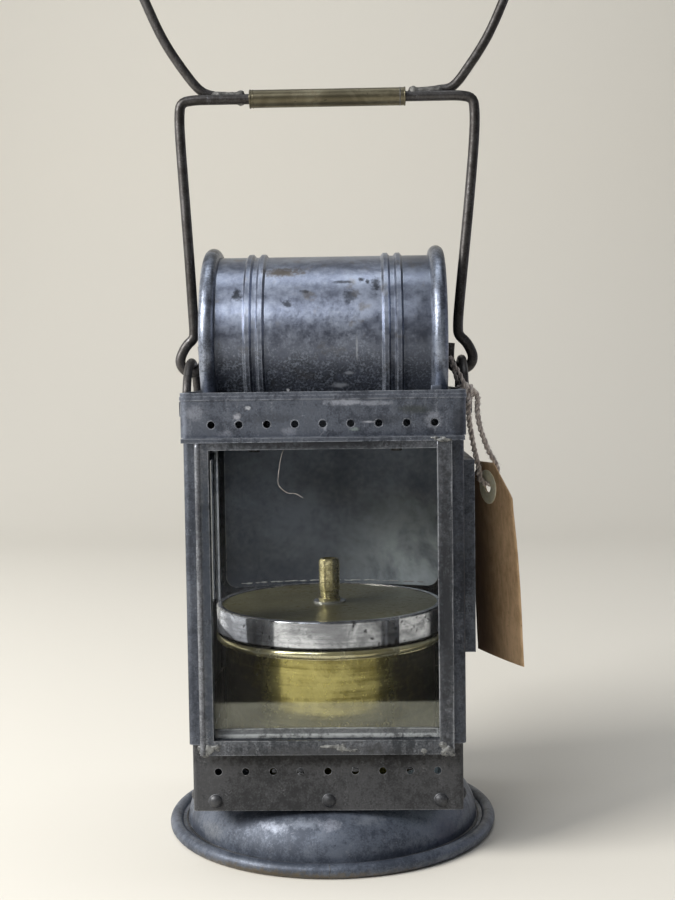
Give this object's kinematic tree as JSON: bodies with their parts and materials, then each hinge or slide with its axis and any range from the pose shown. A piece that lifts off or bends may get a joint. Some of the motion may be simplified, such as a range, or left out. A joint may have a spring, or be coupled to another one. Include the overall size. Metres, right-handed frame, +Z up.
{
  "type": "carbide railway lamp",
  "caption": "Square tin hand lamp with a brass acetylene generator, cross drum vent, glazed front and a wire bail with a bow.",
  "frame": {"origin": "centre of the foot on the floor", "axes": "+Z up, the glazed front faces -Y, +X to the lamp's right as seen from the front"},
  "size_m": [0.1686, 0.1356, 0.4119],
  "materials": {
    "foot_tin": "aged",
    "case_tin": "aged",
    "drum_tin": "worn",
    "wire_steel": "aged",
    "brass_body": "satin",
    "bright_tin": "satin",
    "inner_tin": "aged",
    "pane": "clear",
    "gasket": "matte",
    "felt": "matte",
    "grip_brass": "aged",
    "solder": "dull",
    "card": "matte",
    "card_patch": "matte",
    "twine": "matte"
  },
  "bodies": {
    "base": {"base_dish": "foot_tin", "rim_wire": "wire_steel", "skirt": "foot_tin", "skirt_tray": "inner_tin", "skirt_rivets": "foot_tin", "seat_ring": "inner_tin"},
    "generator": {"pot": "brass_body", "pot_collar": "brass_body", "carbide_basket": "bright_tin", "basket_feet": "bright_tin"},
    "lid": {"lid_ring": "bright_tin", "lid_plate": "brass_body", "lid_gasket": "gasket", "gas_bell": "bright_tin", "filter_felt": "felt", "filter_screen": "bright_tin", "nipple": "brass_body", "nipple_washer": "bright_tin"},
    "housing": {"case_wrap": "case_tin", "window_frame": "case_tin", "window_glass": "pane", "band_lip": "case_tin", "top_band": "case_tin", "top_seam": "case_tin", "top_plate": "case_tin", "drum_shell": "drum_tin", "drum_bead_left": "drum_tin", "drum_bead_right": "drum_tin", "drum_cap_left": "case_tin", "drum_cap_right": "case_tin", "drum_baffle": "inner_tin", "ear_left": "wire_steel", "ear_right": "wire_steel", "saddle_left": "case_tin", "saddle_right": "case_tin", "heat_shield": "inner_tin", "shield_posts": "wire_steel", "reflector": "inner_tin", "left_glass": "pane", "right_glass": "pane", "glass_channels": "inner_tin", "slide_rails": "case_tin", "tag_knot": "twine", "tag_string": "twine", "tag_card": "card", "tag_patch": "card_patch"},
    "shutter": {"shutter_plate": "case_tin", "shutter_tab": "wire_steel"},
    "bail": {"bail_wire": "wire_steel", "bow_wire": "wire_steel", "bail_solder": "solder"},
    "grip": {"grip_sleeve": "grip_brass"}
  },
  "joints": [
    {"name": "generator_lift", "type": "slide", "parent": "base", "child": "generator", "axis": [0, 0, 1], "range_m": [0, 0.03]},
    {"name": "lid_turn", "type": "hinge", "parent": "generator", "child": "lid", "pos_m": [0, 0, 0.085], "axis": [0, 0, 1], "range_deg": [0, 120]},
    {"name": "housing_lift", "type": "slide", "parent": "base", "child": "housing", "axis": [0, 0, 1], "range_m": [0, 0.08]},
    {"name": "shutter_slide", "type": "slide", "parent": "housing", "child": "shutter", "axis": [0, 1, 0], "range_m": [0, 0.078]},
    {"name": "bail_swing", "type": "hinge", "parent": "housing", "child": "bail", "pos_m": [0, 0, 0.1751], "axis": [1, 0, 0], "range_deg": [-50, 50]},
    {"name": "grip_roll", "type": "hinge", "parent": "bail", "child": "grip", "pos_m": [0, 0, 0.2996], "axis": [1, 0, 0], "continuous": true}
  ]
}
